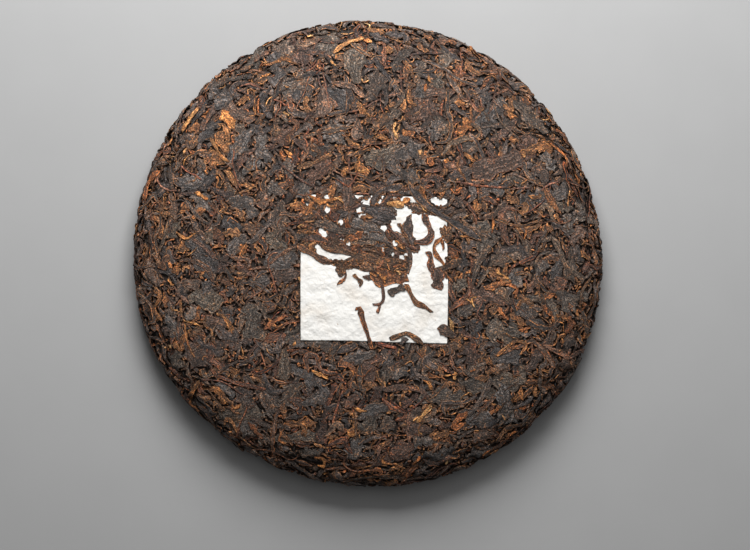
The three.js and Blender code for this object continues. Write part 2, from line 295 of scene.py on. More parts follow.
def shapeLeaves(kind, path, length, width, thickness, pressed, lift, drawn):
    # Gives centre lines their width, and says how far each point sinks by the leaf's own relief
    n, rows, _ = path.shape
    across = kind["across"]
    path, out, _, _ = settle(path)
    along = np.empty_like(path)
    along[:, 1:-1] = path[:, 2:] - path[:, :-2]
    along[:, 0], along[:, -1] = path[:, 1] - path[:, 0], path[:, -1] - path[:, -2]
    along = unit(along - out * (along * out).sum(axis=-1, keepdims=True))
    side = np.cross(out, along)
    t = np.linspace(-1, 1, rows)[None, :, None]
    c = np.linspace(-1, 1, across)[None, None, :]
    each = (n, 1, 1)
    halfWidth = width[:, None, None] / 2
    phase = dice.uniform(0, 6.3, each)
    # outline: pointed or torn ends and an uneven width
    ends = np.where(t < 0, dice.uniform(0.3, 1, each), dice.uniform(0.3, 1, each)) * kind["taper"]
    spread = 1 - ends * np.abs(t) ** np.where(t < 0, dice.uniform(1.3, 5, each), dice.uniform(1.3, 5, each))
    if drawn:
        spread = 1.1 - 0.5 * kind["taper"] * np.abs(t) ** 4
    spread = spread * (1 + kind["ragged"] * np.sin(t * dice.uniform(3, 6, each) + phase))
    ragged = 1 + kind["ragged"] * (0.55 if drawn else 1) * dice.normal(0, 0.8, (n, rows, 2)).clip(-2, 2)
    ragged = np.where(c < 0, ragged[:, :, :1], ragged[:, :, 1:])
    offset = c * halfWidth * spread * ragged
    skew = dice.normal(0, 0.35, each) * (np.abs(t) > 0.99) * halfWidth * c
    points = path[:, :, None] + side[:, :, None] * offset[..., None] + along[:, :, None] * skew[..., None]
    foot, out, _, _ = settle(points)
    # relief: a rounded back, sliding grooves, a slow wave, and ends that dive in
    relief = kind["round"] * np.abs(c) ** 4
    grooves = kind["grooves"]
    for g in range(grooves):
        at = -0.8 + 1.6 * (g + dice.random(each)) / grooves + dice.normal(0, 0.45, each) * t
        deep = kind["grooveDepth"] * dice.uniform(0.3, 1, each)
        relief = relief + deep * np.exp(-(((c - at) / (0.9 / max(2, grooves))) ** 2))
    relief = relief + 0.14 * np.sin(t * dice.uniform(2, 6, each) + 2 * phase)
    relief = relief + 0.12 * dice.normal(0, 1, (n, rows, 1)).clip(-1.5, 1.5)
    relief = relief + kind["rough"] * dice.normal(0, 1, (n, rows, across)).clip(-1.5, 1.5)
    relief = relief + 0.35 * np.abs(t) ** 7 + c * dice.normal(0, 0.2, each)
    relief = (relief - relief.min(axis=(1, 2), keepdims=True)) * thickness[:, None, None] * kind["press"]
    return foot, out, relief + pressed[:, None, None] - lift[:, None, None] * np.clip(t, 0, 1) ** 2


def layLeaves(name, path, length, width, thickness, tone, pressed, lift, least=0, allowed=None, drawn=False):
    # Presses each leaf under what already lies over it, unless too little of its place is open
    kind = leafKinds[name]
    across = kind["across"]
    foot, out, relief = shapeLeaves(kind, path, length, width, thickness, pressed, lift, drawn)
    parts = max(2, math.ceil((length.max() / (kind["rows"] - 1)) / bedding["look"]))
    sideParts = 1 if width.max() / (across - 1) <= bedding["widest"] else 2
    rowMix, columnMix = inBetween(kind["rows"], parts), inBetween(across, sideParts).T
    _, _, bedWay, bedAngle = settle(np.einsum("dr,nrcx,ce->ndex", rowMix, foot, columnMix))
    cells = cellOf(bedWay, bedAngle)
    near = parts // 2
    kept, depths = [], []
    for k, here in enumerate(cells):
        over = cover[here]
        if least and (over == 0).mean() < least:
            continue
        if allowed is not None and not allowed(cellPoint[here]):
            continue
        tall = np.vstack([over[:1]] * near + [over] + [over[-1:]] * near)
        deep = np.lib.stride_tricks.sliding_window_view(tall, 2 * near + 1, axis=0)[::parts].max(axis=-1)
        if sideParts > 1:
            deep = np.maximum(deep[:, ::2], np.hstack([deep[:, 1::2], deep[:, -1:]]))
        # a leaf is too stiff to follow every step of its bed
        beside = np.pad(deep, 1, mode="edge")[1:-1]
        deep = np.maximum(deep, 0.6 * np.maximum(beside[:, 2:], beside[:, :-2]))
        before = np.pad(deep, 1, mode="edge")[:, 1:-1]
        deep = np.maximum(deep, 0.25 * (before[2:] + before[:-2])).clip(0, bedding["deepest"])
        depth = deep + relief[k] + hollow[here][::parts, ::sideParts]
        # only the uppermost leaf counts: those under it may run into each other unseen
        lowest = np.maximum(0.02, rowMix @ depth @ columnMix + bedding["layer"] * thickness[k])
        cover[here] = np.where(over > 0, over, lowest)
        kept.append(k)
        depths.append(depth)
    if kept:
        depths, middle = np.array(depths), across // 2
        top = foot[kept] - out[kept] * depths[..., None]
        root = depths.max(axis=2) + bedding["root"]
        bottom = foot[kept, :, middle] - out[kept, :, middle] * root[..., None]
        rings = finishPlace(np.concatenate([top, bottom[:, :, None]], axis=2))
        placed[name].append((rings, tone[kept], length[kept], width[kept]))


def scatter(name, count, region, least, roundRim=0.0, longest=1.0, allowed=None, sunk=0.0, lifted=0.0):
    # Draws leaves of one kind from places that nothing covers yet
    kind = leafKinds[name]
    free = np.flatnonzero((cover == 0) & region)
    if len(free) < 20:
        return
    chosen = dice.choice(free, min(count, len(free)), replace=False)
    n = len(chosen)
    (short, long), (narrow, wide) = kind["length"], kind["width"]
    length = short + (long * longest - short) * dice.random(n) ** 1.4
    width = np.minimum(narrow + (wide - narrow) * dice.random(n) ** 1.2, length * 0.6)
    thickness = dice.uniform(*kind["thickness"], n)
    heading = dice.uniform(0, 2 * math.pi, n)
    centre = cellPoint[chosen]
    # near the rim most leaves run round it
    _, out, _, angle = settle(centre)
    side, ahead = headings(out)
    turned = np.c_[-np.sin(angle), np.cos(angle), 0 * angle]
    tangent = np.arctan2((turned * side).sum(axis=1), (turned * ahead).sum(axis=1))
    outward = (np.hypot(centre[:, 0], centre[:, 1]) - rimZone["turnFrom"]) / rimZone["turnFade"]
    ruled = dice.random(n) < roundRim * np.clip(outward, 0, 1)
    heading = np.where(ruled, tangent + dice.normal(0, 0.3, n), heading)
    path = walkLeaves(kind, centre, heading, length)
    pressed = np.abs(dice.normal(0, kind["drop"], n)) + sunk
    lift = np.zeros(n)
    if lifted:
        lift = np.where(dice.random(n) < lifted, dice.uniform(0.4, 1.3, n), 0)
    layLeaves(name, path, length, width, thickness, dice.random(n), pressed, lift, least, allowed)


ticket = {
    "side": 60.4, "centre": (2, -4.4), "turn": -0.7, "sheet": 0.12, "cells": 160,
    "rest": 0.36,  # how deep the bare paper lies
    "crumple": 0.4, "folds": [(0.16, 3.1, 0.7), (0.42, 8.7, 0.3)],  # how fine, where in the noise, what share
    "underTea": 0.1, "teaReach": 4, "teaFrom": -8,  # tea over it runs on past its edge, and starts above here
    "bankDepth": 0.28, "bankReach": 4.5,  # how much lower the tea lies beside it, and how far out
    # where the tea leaves it bare, in the paper's own millimetres: the large field, then smaller ones
    "bare": [
        [(-30.4, 6.9), (-28.4, 6.6), (-26.9, 5.4), (-23.6, 4.2), (-22, 2.6), (-20, 2.1), (-15.6, 1.4),
         (-15.5, -1.2), (-14.3, -2.5), (-11.8, -2), (-11, -0.4), (-5.3, 0), (-3.2, -0.4), (-2, -1.6),
         (-2.4, -2.9), (0, -4.5), (2, -5.7), (5.4, -6.1), (9, -6.1), (12.7, -5.3), (13.8, -3.7), (13.9, -1.5),
         (14.6, 1.5), (15.2, 3.5), (15.6, 7), (18.8, 7.4), (19, 10.4), (15.6, 12), (13.2, 13.6), (9.2, 14.6),
         (7.4, 17.2), (6.8, 20.2), (8.8, 21), (9.2, 23.5), (8.9, 25), (7.6, 25.8), (12.8, 26.1), (14, 25),
         (15.3, 24.6), (15.6, 22.9), (18.5, 22.9), (20.7, 23.2), (21.6, 22.6), (25.4, 22.8), (30.4, 19.9),
         (30.4, 18.2), (26.3, 17.7), (27.5, 14.8), (27.6, 13.2), (29.1, 12.2), (30.4, 10.8), (30.4, 6.4),
         (28.7, 5.2), (29.2, 3.2), (26.5, 1.2), (24.2, 0.6), (24, -1.5), (28.4, -1.8), (29.6, -3.8),
         (30.4, -4.5), (30.4, -30.4), (-30.4, -30.4)],
        [(-24, 9.8), (-22.2, 9), (-20.2, 6.9), (-15, 6.7), (-11, 5.7), (-8.9, 4.4), (-10.2, 3.8), (-13.5, 4),
         (-16.5, 3.9), (-20.4, 4.4), (-22.5, 5.8), (-23.7, 7.2)],
        [(22.8, 29.3), (24, 30.4), (26, 30), (27.2, 28.9), (28.5, 29.6), (30.4, 29.6), (30.4, 27.3),
         (27.5, 27), (25, 27.6)],
        [(10.9, 29), (11.8, 30.4), (17, 30.4), (17.9, 28.3), (15, 27.8), (14.7, 29), (12.9, 29.2),
         (11.4, 28.2)],
        [(-0.4, 30.4), (-1.4, 30.2), (-2.4, 28.7), (-5.4, 27.9), (-5.6, 27.2), (-3.9, 26.9), (-2.4, 26.4),
         (-1.2, 25.2), (0.5, 25), (0, 25.9), (-1.2, 26.6), (-0.6, 28.8)],
    ],
    # small holes in the tea: place, half width, half height
    "holes": [
        (-7.1, 30, 1.9, 0.7), (-25.8, 29.9, 1.7, 0.6), (-19.5, 29.4, 1, 0.6), (-27.7, 26.4, 0.5, 0.5),
        (-6.3, 24.2, 1.1, 0.8), (-4.9, 22, 1.5, 0.8), (-19.5, 24.3, 0.8, 1.1), (-13.8, 19.2, 0.6, 1),
        (-21.7, 15.6, 0.9, 1), (-20.5, 14.1, 0.9, 1), (3.5, 17, 1.2, 1.2), (-13.3, 11.7, 0.6, 0.6),
        (-10.7, 10.3, 0.6, 0.6), (8.5, 10.8, 0.9, 0.8), (3.7, 8.4, 0.5, 0.5), (7.8, 6.1, 0.5, 0.5),
        (11.2, 4.7, 1.4, 0.7), (13.3, 6.2, 0.6, 0.6), (3.2, 30, 0.5, 0.6), (2, 28, 0.5, 0.7),
        (8, 29.8, 0.6, 0.5), (1.4, -4, 0.6, 0.5),
    ],
    "matted": [
        (-15.4, 2.6), (-6, 4.4), (13.4, 4.2), (13.8, -4.6), (2, -5.4), (-2, -1.4), (-9, 0.4), (-15, -1.4),
    ],
    # beside this part of it the face isn't lowered
    "bank": [(-40, 6), (-29, 6), (-29, 29), (34, 29), (34, 40), (-40, 40)],
}


def insideShape(x, y, corners):
    found = np.zeros(np.shape(x), bool)
    for (ax, ay), (bx, by) in zip(corners, corners[1:] + corners[:1]):
        between = (ay > y) != (by > y)
        found ^= between & (x < (bx - ax) * (y - ay) / ((by - ay) or 1e-9) + ax)
    return found


def onTicket(points):
    # From the cake's millimetres to the paper's own
    turn = math.radians(ticket["turn"])
    x, y = points[..., 0] - ticket["centre"][0], points[..., 1] - ticket["centre"][1]
    return x * math.cos(turn) + y * math.sin(turn), y * math.cos(turn) - x * math.sin(turn)


def fromTicket(x, y):
    turn = math.radians(ticket["turn"])
    return np.stack([
        x * math.cos(turn) - y * math.sin(turn) + ticket["centre"][0],
        y * math.cos(turn) + x * math.sin(turn) + ticket["centre"][1],
    ], axis=-1)


def paperBare(x, y):
    bare = np.zeros(np.shape(x), bool)
    for corners in ticket["bare"]:
        bare |= insideShape(x, y, corners)
    for atX, atY, halfX, halfY in ticket["holes"]:
        bare |= ((x - atX) / halfX) ** 2 + ((y - atY) / halfY) ** 2 < 1
    return bare & (np.abs(x) < half) & (np.abs(y) < half)


def keepsPaperBare(points, most=0.02):
    return paperBare(*onTicket(points)).mean() < most


def nearlyKeepsPaperBare(points):
    return keepsPaperBare(points, 0.12)


def rimShare(way, last):
    # All round the rim, fading out on the front and on the back
    fadeIn, fadeOut = (way - rimZone["start"]) / rimZone["fadeIn"], (last - way) / rimZone["fadeOut"]
    return np.clip(fadeIn, 0, 1) * np.clip(fadeOut, 0, 1)


# Where the paper lies, and the tea over its upper left
cellX, cellY = onTicket(cellPoint)
half = ticket["side"] / 2
nearMiddle = cellWay < 90  # this far from the middle at the most
onPaper = (np.abs(cellX) < half) & (np.abs(cellY) < half) & nearMiddle
bareCells = paperBare(cellX, cellY) & nearMiddle
reach = half + ticket["teaReach"]
teaOver = (np.abs(cellX) < reach) & (cellY < reach) & (cellY > ticket["teaFrom"]) & nearMiddle
teaOver &= ~bareCells & (onPaper | (cellY > half))
matted = teaOver & insideShape(cellX, cellY, ticket["matted"])

# The leaves lie lower beside the bare paper, and unevenly round the rim
fromPaper = np.hypot(np.maximum(np.abs(cellX) - half, 0), np.maximum(np.abs(cellY) - half, 0))
hollow[:] = ticket["bankDepth"] * np.clip(1 - fromPaper / ticket["bankReach"], 0, 1) ** 0.7
hollow[onPaper | insideShape(cellX, cellY, ticket["bank"]) | ~nearMiddle] = 0
rimShares = rimShare(cellWay, rimZone["skinEnd"])
for i in np.flatnonzero(rimShares > 0):
    uneven = 0.9 * noise.noise(Vector(cellPoint[i] * 0.16)) + 0.6 * noise.noise(Vector(cellPoint[i] * 0.4))
    sunk = rimZone["sunk"] + rimZone["uneven"] * uneven
    hollow[i] = rimShares[i] * min(rimZone["deepest"], max(0, sunk))

# Leaves with a place of their own, on the paper and then on the cake:
# (kind, width, thickness, tone, depth, places)
ticketLeaves = [
    ("longLeaves", 2.8, 0.8, 0.12, 0, [(13.5, 36), (17.3, 31), (21.6, 27), (27, 23.3), (35.5, 18.3),
     (44.3, 12.5)]),
    ("darkLeaves", 2.6, 0.5, 0.5, 0, [(16.5, 11.7), (19.5, 11.4), (22.3, 12.5), (23.7, 15), (23, 17.6),
     (21.5, 20.3), (20.7, 23.2)]),
    ("darkLeaves", 3.2, 0.5, 0.45, 0.05, [(14.3, 22.6), (13.9, 18.6), (14.6, 15), (15.6, 12.2),
     (17.4, 11.2)]),
    ("brownLeaves", 1.5, 0.5, 0.2, 0.05, [(10, 19.2), (11.9, 16.1), (13.6, 12.9)]),
    ("goldenBuds", 2.4, 0.4, 0.6, 0.05, [(4.9, 27.1), (8.7, 27.2), (12.2, 26.4)]),
    ("goldenBuds", 1.9, 0.4, 0.5, 0.1, [(11.4, 27.5), (13, 28.8), (14.7, 29.2)]),
    ("darkLeaves", 3.1, 0.5, 0.4, 0.1, [(14.2, 26.2), (17.5, 25.8), (21, 25.3), (25.1, 24)]),
    ("darkLeaves", 2.6, 0.5, 0.45, 0, [(-1, 26), (0.4, 30.3), (2.7, 32.6), (7.5, 33.6), (11.8, 34.8)]),
    ("darkLeaves", 4, 0.5, 0.35, 0.1, [(-5.8, 25.6), (-1, 24), (4, 22.6), (8.6, 21.9)]),
    ("darkLeaves", 1.9, 0.4, 0.55, 0.05, [(4, 25.2), (6.5, 24.6), (9.2, 24)]),
    ("brownLeaves", 1.2, 0.4, 0.7, 0.05, [(-6, 21.2), (-3.3, 21.7), (-0.6, 21.2)]),
    ("broadLeaves", 4.8, 0.3, 0.95, 0.05, [(-9.4, 19.4), (-4.6, 18), (0.2, 15), (5, 11.6)]),
    ("brownPatches", 2.8, 0.3, 0.85, 0.1, [(-10.7, 12.4), (-8, 13.2), (-5.2, 14.8)]),
    ("goldenBuds", 1.7, 0.5, 0.1, 0, [(-27.4, 30.4), (-24.3, 28.3), (-22.4, 27.4), (-18.4, 28.2),
     (-13.3, 29.3)]),
    ("broadLeaves", 4.2, 0.3, 0.5, 0.1, [(-11.8, 37), (-11.2, 31), (-10.6, 24)]),
    ("broadLeaves", 2.8, 0.3, 0.75, 0.05, [(-25, 32.4), (-21.5, 32.3), (-18.2, 32)]),
    ("brownLeaves", 1.9, 0.6, 0.25, 0, [(-7.6, -16.8), (-6, -16.4), (-5.2, -19), (-3.6, -23.8), (-1.6, -29.5),
     (-0.6, -33.4)]),
    ("leafStems", 1.1, 0.5, 0.35, 0, [(2.9, -5.6), (3.7, -8.2), (3.9, -12.5), (2.5, -14.3), (-0.3, -14.7)]),
    ("leafStems", 1.2, 0.45, 0.2, 0, [(2.5, -14.3), (2.2, -16.2), (1.5, -18.1)]),
    ("darkLeaves", 2.7, 0.4, 0.3, 0, [(6.2, -10.1), (8.8, -8.4), (12.4, -6.8)]),
    ("brownLeaves", 1.8, 0.5, 0.4, 0, [(13, -5.8), (15.2, -10.2), (17.6, -13.8), (20.5, -14.9),
     (23.6, -17.3)]),
    ("darkLeaves", 2.2, 0.5, 0.5, 0.05, [(22, 7.6), (23.2, 5.1), (23.1, 1.5), (23.8, -1.5)]),
    ("darkLeaves", 4.6, 0.5, 0.5, 0, [(24.2, 0.6), (25.6, -1.8), (25.9, -4.6), (25.8, -7.8)]),
    ("brownLeaves", 2.6, 0.5, 0.1, 0.05, [(24, -1.4), (30, 1.2), (36.1, 4.4)]),
    ("brownLeaves", 1.6, 0.5, 0.75, 0, [(28, 13.4), (25.6, 11.2), (24.6, 8.7), (25.5, 6.4), (27.3, 4),
     (28.9, 1.8)]),
    ("brownLeaves", 1.2, 0.5, 0.85, 0.05, [(27.6, 13), (28.4, 10.7), (28.7, 8.4)]),
    ("brownPatches", 4, 0.4, 0.45, 0.05, [(28.6, 18), (30, 15), (31, 11.6)]),
    ("brownLeaves", 1.9, 0.5, 0.3, 0, [(6.8, -28.9), (10.3, -27.5), (13.6, -26.2), (16.6, -27.6),
     (20.6, -30.9)]),
    ("darkLeaves", 1.9, 0.5, 0.6, 0.05, [(11.4, -31), (12.6, -29.2), (14.2, -28.4)]),
    ("darkLeaves", 3.4, 0.5, 0.4, 0, [(26.6, -23.2), (29.6, -24.9), (33.5, -27.4)]),
    ("leafStems", 1.3, 0.5, 0.85, 0, [(1.6, -30.6), (5.4, -31.6), (9.4, -32.4)]),
    ("leafStems", 0.9, 0.35, 0.9, 0, [(3.8, 3.6), (2.2, 1.4), (0.8, 0)]),
    ("goldenBuds", 1.3, 0.35, 0.2, 0, [(1, -1.2), (3.4, -3), (4.4, -5.6)]),
    ("goldenBuds", 1, 0.35, 0.5, 0.05, [(-1.8, -1.4), (0.6, -2.6), (2.2, -2.4)]),
    ("brownPatches", 5.6, 0.35, 0.35, 0.05, [(-15.4, 0.6), (-9.6, 2.6), (-2, 2.9), (5.4, 2.6), (13.2, 2)]),
    ("brownPatches", 5.6, 0.35, 0.5, 0.05, [(-1.6, -2.2), (4, -3.3), (9, -3.4), (13.6, -2.6)]),
    ("brownPatches", 3.2, 0.35, 0.3, 0.1, [(-15.2, 1), (-13.6, -1), (-11.4, -1.4)]),
    ("brownLeaves", 1.2, 0.4, 0.25, 0, [(-11.5, -1.9), (-12.3, -4.2), (-15.3, -6.4)]),
    ("brownLeaves", 1.4, 0.4, 0.2, 0, [(-8.6, -2.3), (-6.2, -4.6), (-5.2, -5.8), (-6, -7.2)]),
    ("darkLeaves", 1.5, 0.4, 0.4, 0, [(-4.7, -3.3), (-1.5, -3.5), (2, -5)]),
    ("darkLeaves", 2.4, 0.6, 0.4, 0, [(7, 15), (11.1, 13.2), (13.6, 9.9), (14.8, 6.4), (14.2, 2.6),
     (13.2, -1.5)]),
    ("darkLeaves", 2.8, 0.5, 0.5, 0.05, [(14.6, 9.9), (16.5, 9.2), (19, 9)]),
    ("brownLeaves", 2.2, 0.5, 0.3, 0, [(-22.6, 10.6), (-19.8, 8.2), (-14, 7.7), (-8, 5.9), (-1, 4.8)]),
    ("brownLeaves", 2.3, 0.5, 0.15, 0, [(-31.8, 9.6), (-29, 8), (-24.5, 5.6), (-20.4, 3.3), (-15.4, 2.4)]),
    ("brownLeaves", 1.4, 0.4, 0.8, 0.05, [(-18.8, 2.2), (-17, 2.2), (-15, 1.9)]),
    ("darkLeaves", 3, 0.5, 0.3, 0.05, [(-24.6, 18.6), (-20, 18.2), (-14, 15.6), (-8, 15.8), (-2.6, 12.6)]),
    ("darkLeaves", 2.6, 0.5, 0.5, 0.1, [(-29.4, 11.2), (-26.5, 12.6), (-22.8, 12.6), (-19, 11)]),
    ("brownLeaves", 1.1, 0.4, 0.6, 0, [(-20.2, 22), (-18.2, 19), (-16, 16.8)]),
    ("brownPatches", 2.4, 0.3, 0.75, 0.05, [(-29.6, 23.2), (-27.6, 23.4), (-25.6, 23.9)]),
]
cakeLeaves = [
    ("goldenBuds", 1.7, 0.5, 0.85, 0, [(-14.7, 84.2), (-8.9, 88.6), (-1.9, 90.6)]),
    ("goldenBuds", 1.6, 0.5, 0.5, 0.05, [(-2.6, 90.3), (1.4, 88.9)]),
    ("goldenBuds", 1.9, 0.5, 0.75, 0, [(-77.2, 52.2), (-73.8, 57.2), (-70, 61.7)]),
    ("goldenBuds", 1.4, 0.5, 0.45, 0, [(-65.1, 49.7), (-60.5, 41.9), (-57.2, 39.4)]),
    ("goldenBuds", 4.2, 0.4, 0.4, 0.05, [(-60.5, 59.7), (-57.2, 56.4), (-54.8, 54.3)]),
    ("brownLeaves", 1.9, 0.6, 0.6, 0, [(-29.5, 36.9), (-22.5, 39.4), (-15.1, 42.7)]),
    ("goldenBuds", 1.5, 0.5, 0.3, 0, [(-71.3, 27.4), (-66.3, 24.1)]),
    ("goldenBuds", 1.1, 0.5, 0.35, 0, [(-79.5, 10.9), (-75.4, 8.2), (-71.3, 10.5)]),
    ("brownLeaves", 1.5, 0.5, 0.8, 0, [(-88.2, -11.8), (-86.2, -16.4), (-88.9, -21.3), (-85.7, -26.3)]),
    ("brownLeaves", 1.6, 0.5, 0.85, 0, [(-43.6, -29.6), (-39.9, -26.3), (-34.9, -23.8)]),
    ("brownLeaves", 1.3, 0.5, 0.9, 0.05, [(-42, -24.4), (-38.4, -28.3), (-35.5, -27.2)]),
    ("goldenBuds", 1.5, 0.5, 0.55, 0, [(-24.2, -46.9), (-20.9, -48.6), (-17.1, -50.3)]),
    ("goldenBuds", 1.2, 0.5, 0.3, 0, [(-22.9, -84.1), (-19.2, -85.2), (-19, -88.2), (-21.7, -88)]),
    ("goldenBuds", 1.7, 0.5, 0.7, 0, [(19.6, -68.4), (22.9, -64.3), (25.8, -60.6)]),
    ("goldenBuds", 0.9, 0.4, 0.6, 0, [(21.6, -66.6), (19.9, -66.2), (18.2, -67.8)]),
    ("brownLeaves", 1.3, 0.5, 0.8, 0, [(51.9, -40.3), (56, -36.6), (59.7, -34.1), (64.3, -35.4),
     (61.8, -39.8)]),
    ("brownLeaves", 2.4, 0.5, 0.75, 0, [(46.9, -12.2), (51, -11.4), (55.2, -9.8)]),
    ("brownLeaves", 3, 0.5, 0.7, 0, [(25, -73.4), (28.7, -73.8), (32.9, -72.6)]),
    ("leafStems", 0.9, 0.5, 0.75, 0, [(36.2, 32), (46.1, 30.3), (56.4, 29.5)]),
    ("leafStems", 0.9, 0.5, 0.3, 0, [(-37, 39.4), (-28.3, 32.4), (-17.6, 27.4)]),
    ("broadLeaves", 7.5, 0.4, 0.5, 0, [(43, 35.9), (53.1, 38.2), (64, 42.1)]),
    ("brownLeaves", 1.7, 0.5, 0.65, 0, [(56, 63.7), (59.7, 61.4)]),
    ("goldenBuds", 1.1, 0.5, 0.25, 0, [(75.8, 48.5), (80.4, 44.8), (83.2, 41.9), (82.9, 37.4)]),
]


def layDrawn(rows, turnPlace):
    for name, width, thickness, tone, depth, places in rows:
        path, length = drawPath(turnPlace(np.array(places, float)), leafKinds[name]["rows"])
        sizes = [np.array([value], float) for value in (length, width, thickness, tone, depth, 0)]
        layLeaves(name, path[None], *sizes, drawn=True)


for name, count in (("curledEdges", 16), ("goldenBuds", 5), ("brownLeaves", 9), ("brownCrumbs", 12)):
    scatter(name, count, matted, 0.7, allowed=keepsPaperBare, longest=0.45)
scatter("leafCrumbs", 8, matted, 0.7, allowed=keepsPaperBare, longest=0.45)
for name, count in (("curledEdges", 22), ("leafStems", 4), ("goldenBuds", 3)):
    scatter(name, count, teaOver, 0.8, allowed=keepsPaperBare, longest=0.8)
layDrawn(ticketLeaves, lambda p: fromTicket(p[:, 0], p[:, 1]))
layDrawn(cakeLeaves, lambda p: p)
print("leaves with a place of their own pressed in")

# Tea over the paper: how many of each kind in a turn, and how much of a leaf's place has to be open
largeTea = [
    ("broadLeaves", 12, 0.4), ("longLeaves", 10, 0.4), ("brownPatches", 10, 0.4), ("darkLeaves", 50, 0.3),
    ("brownLeaves", 30, 0.3), ("goldenBuds", 6, 0.4), ("leafStems", 5, 0.3), ("curledEdges", 20, 0.4),
]
smallTea = [
    ("darkLeaves", 60, 0.15), ("brownLeaves", 30, 0.15), ("leafCrumbs", 80, 0.12), ("brownCrumbs", 50, 0.12),
]
for turns, rows, longest in ((5, largeTea, 0.75), (8, smallTea, 0.5)):
    for name, count, least in rows * turns:
        scatter(name, count, teaOver, least, allowed=keepsPaperBare, longest=longest)
for name in ("leafCrumbs", "brownCrumbs") * 10:
    scatter(name, 120, teaOver & onPaper, 0.08, allowed=nearlyKeepsPaperBare, longest=0.6)
print("tea over the paper pressed in, open", round((cover[teaOver & onPaper] == 0).mean(), 3))


def spreadMost(field):
    # Every value gives way to the largest of its neighbours
    wide = np.pad(field, 1, mode="edge")
    return np.maximum.reduce([wide[:-2, 1:-1], wide[2:, 1:-1], wide[1:-1, :-2], wide[1:-1, 2:], field])


def ridged(x, y, scale, seed):
    # Sharp folds and flat fields, as crumpled paper has
    made = np.zeros(x.shape)
    for index in np.ndindex(x.shape):
        at = Vector((x[index] * scale, y[index] * scale, seed))
        made[index] = abs(noise.noise(at)) + 0.5 * abs(noise.noise(at * 2.3))
    return made


def makeTicket():
    t = ticket
    bed = bmesh.new()
    bmesh.ops.create_grid(bed, x_segments=t["cells"], y_segments=t["cells"], size=t["side"] / 2)
    bed.verts.ensure_lookup_table()
    flat = np.array([v.co[:2] for v in bed.verts])
    order = np.lexsort((flat[:, 0].round(4), flat[:, 1].round(4)))
    side = t["cells"] + 1
    x, y = flat[order, 0].reshape(side, side), flat[order, 1].reshape(side, side)
    foot, out, way, angle = settle(onDome(fromTicket(x, y)))
    # the bare paper is crumpled, and under the tea it lies below the uppermost leaf
    folds = sum(share * ridged(x, y, scale, seed) for scale, seed, share in t["folds"])
    folds = (folds - folds.min()) / (folds.max() - folds.min())
    depth = t["rest"] + t["crumple"] * folds
    near = spreadMost(cover[cellOf(way, angle)])
    depth = np.maximum(depth, np.where(near > 0, near + t["underTea"], 0))
    # tea dust and painted shade darken the paper in the gaps between the leaves that lie on it
    dustAndShade = 1 - spreadMost(paperBare(x, y).astype(float))
    dustAndShadeLayer = bed.verts.layers.float.new("paperDustAndShade")
    points = finishPlace(foot - out * depth[..., None]).reshape(-1, 3)
    for i, point, share in zip(order, points, dustAndShade.ravel()):
        bed.verts[i].co = point
        bed.verts[i][dustAndShadeLayer] = share
    bmesh.ops.recalc_face_normals(bed, faces=bed.faces[:])
    if bed.faces[0].normal.z < 0:
        bmesh.ops.reverse_faces(bed, faces=bed.faces[:])
    uv = bed.loops.layers.uv.new("paperMap")
    for i, spot in zip(order, np.c_[x.ravel(), y.ravel()] / t["side"] + 0.5):
        for loop in bed.verts[i].link_loops:
            loop[uv].uv = spot
    bmesh.ops.solidify(bed, geom=bed.faces[:], thickness=t["sheet"] * metre)
    # later leaves go under the paper
    column = np.rint((cellX[onPaper] / t["side"] + 0.5) * t["cells"]).astype(int).clip(0, side - 1)
    row = np.rint((cellY[onPaper] / t["side"] + 0.5) * t["cells"]).astype(int).clip(0, side - 1)
    cover[onPaper] = np.maximum(cover[onPaper], depth[row, column] + t["sheet"] + 0.05)
    return finishMesh("paperTicket", bed)


def finishMesh(name, bed):
    mesh = bpy.data.meshes.new(name)
    bed.to_mesh(mesh)
    bed.free()
    mesh.shade_smooth()
    return mesh


ticketMesh = makeTicket()
print("paper pressed in")

# The rest of the cake, the largest leaves first; some parts of its face are matted flat, others loose
zones = {  # in millimetres along the half section
    "frontEnd": 112, "rimStart": 88, "rimEnd": 132, "backStart": 118, "flatEnd": 92, "broadEnd": 96,
    "matting": (0.05, 0.12), "mattedFrom": -0.04,  # how fine its two noises are
    "mattedUp": 0.002, "mattedRight": -0.001,  # how much more of the face is matted that way, for each mm
}
front = cellWay < zones["frontEnd"]
rim = (cellWay > zones["rimStart"]) & (cellWay < zones["rimEnd"])
back = cellWay >= zones["backStart"]
coarse, fine = zones["matting"]
matting = np.array([noise.noise(Vector(p * coarse)) + 0.5 * noise.noise(Vector(p * fine)) for p in cellPoint])
matting = matting + zones["mattedUp"] * cellPoint[:, 1] + zones["mattedRight"] * cellPoint[:, 0]
flat = front & (cellWay < zones["flatEnd"]) & (matting > zones["mattedFrom"])
loose = front & ~flat


def reportOpen(stage, region):
    print(stage, "in, open", round((cover[region] == 0).mean(), 3))


